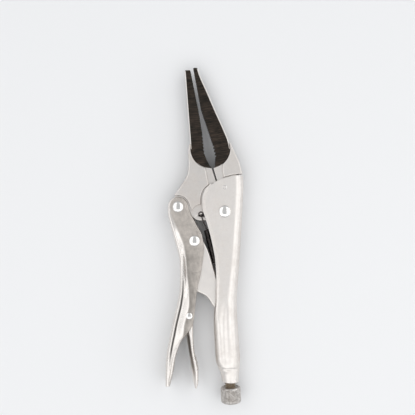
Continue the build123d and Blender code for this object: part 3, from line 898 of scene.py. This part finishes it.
class MESH_OT_pliers_moving_jaw(Operator):
    """Forges the moving jaw: nose, thick body, spotfaced spring hole and the lever's ear"""

    bl_idname = "mesh.pliers_moving_jaw"
    bl_label = "Moving Jaw"

    def execute(self, context):
        nose = forge_nose(
            "moving_jaw", [(-10.2, 30.9), (-12.3, 35.6)],
            [(-13.6, 38.6), (-15.0, 52.0), (-17.8, 69.1), (-23.1, 95.3)], 0.8, -1,
            [(-23.5, 95.7), (-26.7, 95.7)],
            [(-27.1, 94.6), (-25.7, 75.9), (-24.1, 55.5), (-23.5, 48.0), (-23.1, 42.6)],
            arc(EYE_CENTRE, EYE_RADIUS, 180, 274, 34), milled_black("black_nose_left", 0.02))
        settle(nose, "moving_jaw", "jaw_steel", "moving_jaw")

        rim = curve([(-23.95, 45.6), (-24.5, 41.9), (-24.5, 28.8), (-25.6, 23.6), (-28.9, 18.4),
                     (-32.9, 12.7), (-34.0, 11.3)], 60)
        ear = arc(LEVER_PIVOT, 7.6, 100, 10, 24)
        spot = arc(SPRING_HOLE, 6.5, 158, 91, 20)
        seat = curve([(-16.0, 5.5), (-16.0, 9.4), (-14.4, 14.5), (-10.6, 18.2)], 20)
        step = [(-10.6, 18.2), (-11.9, 23.5), (-12.9, 29.5)]
        hollow = arc(EYE_CENTRE, EYE_RADIUS, 256, 168, 30)
        body = plate(join(rim, ear, spot, seat, step, hollow), JAW_HALF, sizes().edge)
        back = curve([(-2.0, -6.7), (-13.3, -5.9), (-16.4, -6.2), (-19.4, -5.5), (-21.8, -3.8)], 20)
        web = plate(join([(-8.75, 29.25), (-5.9, 20.1), (-1.6, 6.8)], arc(MAIN_PIVOT, 7.0, 80, -90, 30), back,
                         arc(LEVER_PIVOT, 6.2, 262, 120, 24), [(-28.9, 17.6), (-25.2, 25.0), (-22.0, 34.0)]),
                    TAIL_HALF, 0.45)
        steel = plated_steel("forged_plate_left", 0.86, 0.38, 1.0, 0.85)
        piece = make_piece("moving_jaw_web", [web], steel)
        cut(piece, turned([(0.8, -9), (0.8, 9)], (*HOOK_PLACE, 0), UP, 32))
        settle(piece, "moving_jaw", "jaw_steel")
        settle(make_piece("moving_jaw_body", [body], steel), "moving_jaw", "jaw_steel")
        return {"FINISHED"}


class MESH_OT_pliers_toggle(Operator):
    """Shapes the toggle link: a flat plate with rounded edges, from the lever handle to the tip of the screw
    """

    bl_idname = "mesh.pliers_toggle"
    bl_label = "Toggle Link"

    def execute(self, context):
        head = arc(LINK_PIVOT, 5.5, 40, 195, 24)
        belly = curve([(-25.3, -23.0), (-22.6, -50.0), (-21.2, -53.6), (-17.7, -54.8), (-12.6, -57.5),
                       (-7.6, -64.2), (-3.6, -68.1)], 60)
        tip = arc((1.8, -65.6), 3.0, 250, 390, 18)
        front = curve([(3.6, -63.0), (-5.0, -45.0), (-12.3, -23.5), (-15.6, -17.4)], 40)
        body = plate(join(head, belly, tip, front), 3.8, 1.2, steps=7)
        piece = make_piece("toggle_link_sheet", [body], plated_steel("link_plate", 1, 0.36, 0.5, 0.2))
        settle(piece, "link", "link_steel", "toggle_link")
        return {"FINISHED"}


class MESH_OT_pliers_release(Operator):
    """Folds the release lever: a narrow trough with a ribbed pressing back"""

    bl_idname = "mesh.pliers_release"
    bl_label = "Release Lever"

    def execute(self, context):
        y = np.linspace(*RELEASE_STATIONS[[0, -1], 0], 200)
        edge, back, half = (
            flow(-y, -RELEASE_STATIONS[:, 0], column) for column in RELEASE_STATIONS.T[1:])
        ribs = 0.5 * np.sin((y + 98.2) * math.pi / 1.15) ** 2 * (y < -98.2) * (y > -107.4)
        open_edge = np.c_[edge, y]
        back_edge = np.c_[back + ribs, y]
        width = np.hypot(*(back_edge - open_edge).T)
        corner = np.minimum(1.6, width * 0.45)

        def shape(along, run):
            low = ease((-78 - y) / 10)[:, None]
            return -2.8 * low * ease(1 - along / (0.75 * run)) ** 1.3

        body = channel(open_edge, back_edge, half, half, width - corner - 0.2, corner, 1.1, 0.4, shape)
        finger = plate(join(arc((-26.7, -53.5), 1.5, 200, 20, 12), [(-21.6, -66.5)],
                            arc(RELEASE_PIVOT, 3.3, 10, -60, 10), [(-26.4, -74.0), (-27.2, -70.3)]), 3.7, 0.5)
        # The release's panel colour is dimmed to 0.62 for a painted shade, which the mark below lays over the
        # trough's open half.
        piece = make_piece("release_lever_sheet", [body, finger], worn_and_shaded_sheet("release_plate", 0.62))
        # Painted shade on the open half of the trough, fading out at its lower end.
        mark(piece, "worn_panel_and_shade", lambda px, py, pz: (
            ease(np.interp(-py, -y, (edge + back) / 2) - px + 0.5) * ease((py + 116) / 16)))
        settle(piece, "release", "lever_sheet", "release_lever")
        return {"FINISHED"}


class MESH_OT_pliers_rivets(Operator):
    """Sets the domed rivets and the staked jaw pin"""

    bl_idname = "mesh.pliers_rivets"
    bl_label = "Rivets"

    # CAD node, body, place, radii of the shank and the head, height of the dome
    RIVETS = (
        ("main_rivet", "fixed_side", MAIN_PIVOT, 3.0, 4.2, 1.85),
        ("lever_rivet", "lever", LEVER_PIVOT, 2.6, 3.8, 1.65),
        ("link_rivet", "lever", LINK_PIVOT, 2.6, 3.8, 1.65),
        ("release_rivet", "lever", RELEASE_PIVOT, 1.5, 2.3, 0.95),
    )

    def execute(self, context):
        material = polished_steel("bright_dome")
        for name, body, place, shank, head, dome in self.RIVETS:
            swell = np.linspace(math.radians(4), math.radians(90), 18)
            crown = [(head * math.sin(a), WALL_HALF + 0.3 + (dome - 0.3) * math.cos(a)) for a in swell]
            rim = [(head, WALL_HALF + 0.02), (shank, WALL_HALF + 0.02)]
            self.head_both_ends(name + "_dome", crown + rim, place, 72, material, body, name)
        stake = [(0.25, 5.35), (0.8, 5.45), (1.05, 5.72), (1.2, 5.84), (1.38, 5.72), (1.38, 5.4)]
        self.head_both_ends("jaw_pin_stake", stake, JAW_PIN, 48, material, "fixed_side", "fixed_jaw_pin")
        return {"FINISHED"}

    def head_both_ends(self, name, top, place, count, material, body, node):
        """One turned pin: the profile of its upper end, and the mirror of that below."""
        profile = top + [(radius, -height) for radius, height in reversed(top)]
        pin = turned(profile, (*place, 0), UP, count)
        settle(make_piece(name, [pin], material), body, "rivet_steel", node)


class MESH_OT_pliers_screw(Operator):
    """Cuts the adjusting screw's thread and the knob's diamond knurl"""

    bl_idname = "mesh.pliers_screw"
    bl_label = "Adjusting Screw"

    def execute(self, context):
        size = sizes()
        tint = colours()
        top = (*KNOB_TOP, 0)

        def thread(angle, height):
            phase = (height / size.thread_pitch + angle / (2 * math.pi)) % 1
            flank = np.clip(np.abs(2 * phase - 1) * 1.5 - 0.25, 0, 1)
            return size.thread_depth * flank * ease((height + 47) / 1.2)

        reach = np.arange(-47.4, 0.8, 0.11)
        radius = np.where(reach < -46.9, 3.0, 3.68)
        shank = turned(np.c_[radius, reach], top, SCREW_AXIS, 56, thread)
        material = machined_steel("thread_steel", shade(tint.thread), shade(tint.thread, 0.55), 0.36)
        settle(make_piece("adjusting_screw_thread", [shank], material), "screw", "screw_steel",
               "adjusting_screw")

        def knurl(angle, height):
            turn = angle * size.knurls / (2 * math.pi)
            lead = height / 1.25
            left = np.abs(2 * ((turn + lead) % 1) - 1)
            right = np.abs(2 * ((turn - lead) % 1) - 1)
            band = ease((height - 1.1) / 0.5) * ease((9.5 - height) / 0.6)
            return size.knurl_depth * np.maximum(left, right) ** 2.2 * band

        bend = np.linspace(0, math.pi / 2, 7)
        shoulder = [(5.6 + 1.2 * math.sin(a), 1.2 - 1.2 * math.cos(a)) for a in bend]
        side = [(6.82, height) for height in np.arange(1.25, 9.2, 0.085)]
        skirt = [(4.6 + 2.2 * math.cos(a), 9.2 + 1.95 * math.sin(a)) for a in bend]
        dish = [(3.75, 0.9), (4.6, 0.75), (5.1, 0.5), (5.35, 0.12)]
        profile = dish + shoulder + side + skirt + [(2.0, 11.17)]
        body = turned(profile, top, SCREW_AXIS, 34 * 10, knurl)
        material = machined_steel("knurled_plate", shade(tint.plate, 0.74), shade(tint.stain, 0.62), 0.3)
        settle(make_piece("adjusting_knob_knurl", [body], material), "knob", "knob_steel", "adjusting_knob")
        return {"FINISHED"}


class MESH_OT_pliers_spring(Operator):
    """Winds the opening spring, with a hook in the moving jaw and a loop on the handle's tab"""

    bl_idname = "mesh.pliers_spring"
    bl_label = "Opening Spring"

    def execute(self, context):
        size = sizes()
        top = np.array([-12.1, -12.4, 0.0])
        bottom = np.array([-6.3, -34.6, 0.0])
        along = (bottom - top) / np.linalg.norm(bottom - top)
        across = np.array([-along[1], along[0], 0.0])
        rise = TAIL_HALF + 0.55
        turn = np.linspace(0, size.coil_turns * 2 * math.pi, size.coil_turns * 22)
        share = (turn / turn[-1])[:, None]
        coil = (top + (bottom - top) * share
                + size.coil_radius * (np.sin(turn)[:, None] * across + np.cos(turn)[:, None] * [0, 0, 1]))
        ring = np.c_[arc(SPRING_HOLE, 1.45, -20, 290, 22), np.full(22, rise - 0.1)]
        hook = np.concatenate([[(*HOOK_PLACE, -0.5), (*HOOK_PLACE, rise - 0.4)], ring,
                               [(-15.3, -4.0, rise), (-14.7, -6.2, rise - 0.1), (-13.5, -9.2, 3.2)]])
        loop = np.array([(-5.9, -36.2, 1.5), (-5.0, -39.3, 1.2), (-3.9, -41.9, 1.2), (-2.9, -41.2, 1.2),
                         (-3.0, -39.2, 1.2)])
        material = machined_steel("oiled_wire", shade(colours().spring), shade(colours().spring, 0.5), 0.3)
        path = np.concatenate([hook, coil, loop])
        reach = distances(path)
        even = np.linspace(0, reach[-1], 1500)
        smooth = np.stack([np.interp(even, reach, column) for column in path.T], axis=1)
        piece = make_piece("opening_spring_coil", [wire(smooth, size.wire_radius, 8)], material)
        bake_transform(piece)
        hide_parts("opening_spring")
        return {"FINISHED"}


# --- stage
class SCENE_OT_pliers_stage(Operator):
    """Lays the pale floor and sets the soft boxes and the camera straight above the tool"""

    bl_idname = "scene.pliers_stage"
    bl_label = "Stage"

    # name, place in metres, length along the tool and width, power in watts
    SOFT_BOXES = (
        ("left_box", (-0.42, 0.0, 0.62), (1.5, 0.5), 2.1),
        ("right_box", (0.42, 0.0, 0.62), (1.5, 0.5), 2.0),
        ("foot_box", (0.0, -0.42, 0.62), (0.36, 0.4), 0.42),
        ("right_strip", (0.85, 0.0, 0.3), (1.4, 0.25), 1.3),
        ("left_strip", (-0.85, 0.0, 0.3), (1.4, 0.25), 0.35),
    )

    def execute(self, context):
        scene = bpy.context.scene
        floor_mesh = bpy.data.meshes.new("floor")
        floor_mesh.from_pydata(FLOOR_CORNERS, [], [(0, 1, 2, 3)])
        paint = Finish("pale_floor", metallic=0.0)
        grain = paint.noise(40, detail=2)
        paint.set(Base_Color=paint.blend(grain * 0.1, *FLOOR_GREYS), Roughness=0.9)
        floor_mesh.materials.append(paint.material)
        add_object("floor", floor_mesh)

        for name, place, extent, power in self.SOFT_BOXES:
            light = bpy.data.lights.new(name, "AREA")
            light.shape = "RECTANGLE"
            light.size, light.size_y = extent
            light.energy = power
            lamp = add_object(name, light)
            lamp.location = place
            lamp.rotation_euler = (-Vector(place)).to_track_quat("-Z", "Y").to_euler()
        world = bpy.data.worlds.new("studio")
        world.use_nodes = True
        background = world.node_tree.nodes["Background"]
        background.inputs["Color"].default_value = (0.95, 0.97, 1.0, 1)
        background.inputs["Strength"].default_value = 0.6
        scene.view_settings.view_transform = "Standard"
        scene.world = world

        lens = bpy.data.cameras.new("camera")
        lens.sensor_width = 36
        lens.lens = 36 * CAMERA_HEIGHT / VIEW_WIDTH
        lens.clip_start = 0.01
        scene.camera = add_object("camera", lens)
        scene.camera.location = ORIGIN + np.array([-11.6, 2.7, 0]) * MM + (0, 0, CAMERA_HEIGHT)
        return {"FINISHED"}


class VIEW3D_PT_pliers(Panel):
    """Lists the pliers' pieces and their sizes"""

    bl_idname = "VIEW3D_PT_pliers"
    bl_label = "Locking Pliers"
    bl_space_type = "VIEW_3D"
    bl_region_type = "UI"
    bl_category = "Pliers"

    def draw(self, context):
        for operator in OPERATORS:
            self.layout.operator(operator.bl_idname)
        for group in (sizes(), colours()):
            for name in group.__annotations__:
                self.layout.prop(group, name)


OPERATORS = (
    SCENE_OT_pliers_stage,
    MESH_OT_pliers_fixed_handle,
    MESH_OT_pliers_lever_handle,
    MESH_OT_pliers_fixed_jaw,
    MESH_OT_pliers_moving_jaw,
    MESH_OT_pliers_toggle,
    MESH_OT_pliers_release,
    MESH_OT_pliers_rivets,
    MESH_OT_pliers_screw,
    MESH_OT_pliers_spring,
)
CLASSES = (PliersSizes, PliersColours, *OPERATORS, VIEW3D_PT_pliers)


def register():
    for item in CLASSES:
        bpy.utils.register_class(item)
    bpy.types.Scene.pliers_sizes = PointerProperty(type=PliersSizes)
    bpy.types.Scene.pliers_colours = PointerProperty(type=PliersColours)


def unregister():
    del bpy.types.Scene.pliers_colours
    del bpy.types.Scene.pliers_sizes
    for item in reversed(CLASSES):
        bpy.utils.unregister_class(item)


def main():
    register()
    bpy.ops.scene.pliers_stage()
    bpy.ops.mesh.pliers_fixed_handle()
    bpy.ops.mesh.pliers_lever_handle()
    bpy.ops.mesh.pliers_fixed_jaw()
    bpy.ops.mesh.pliers_moving_jaw()
    bpy.ops.mesh.pliers_toggle()
    bpy.ops.mesh.pliers_release()
    bpy.ops.mesh.pliers_rivets()
    bpy.ops.mesh.pliers_screw()
    bpy.ops.mesh.pliers_spring()


if __name__ == "__main__":
    main()
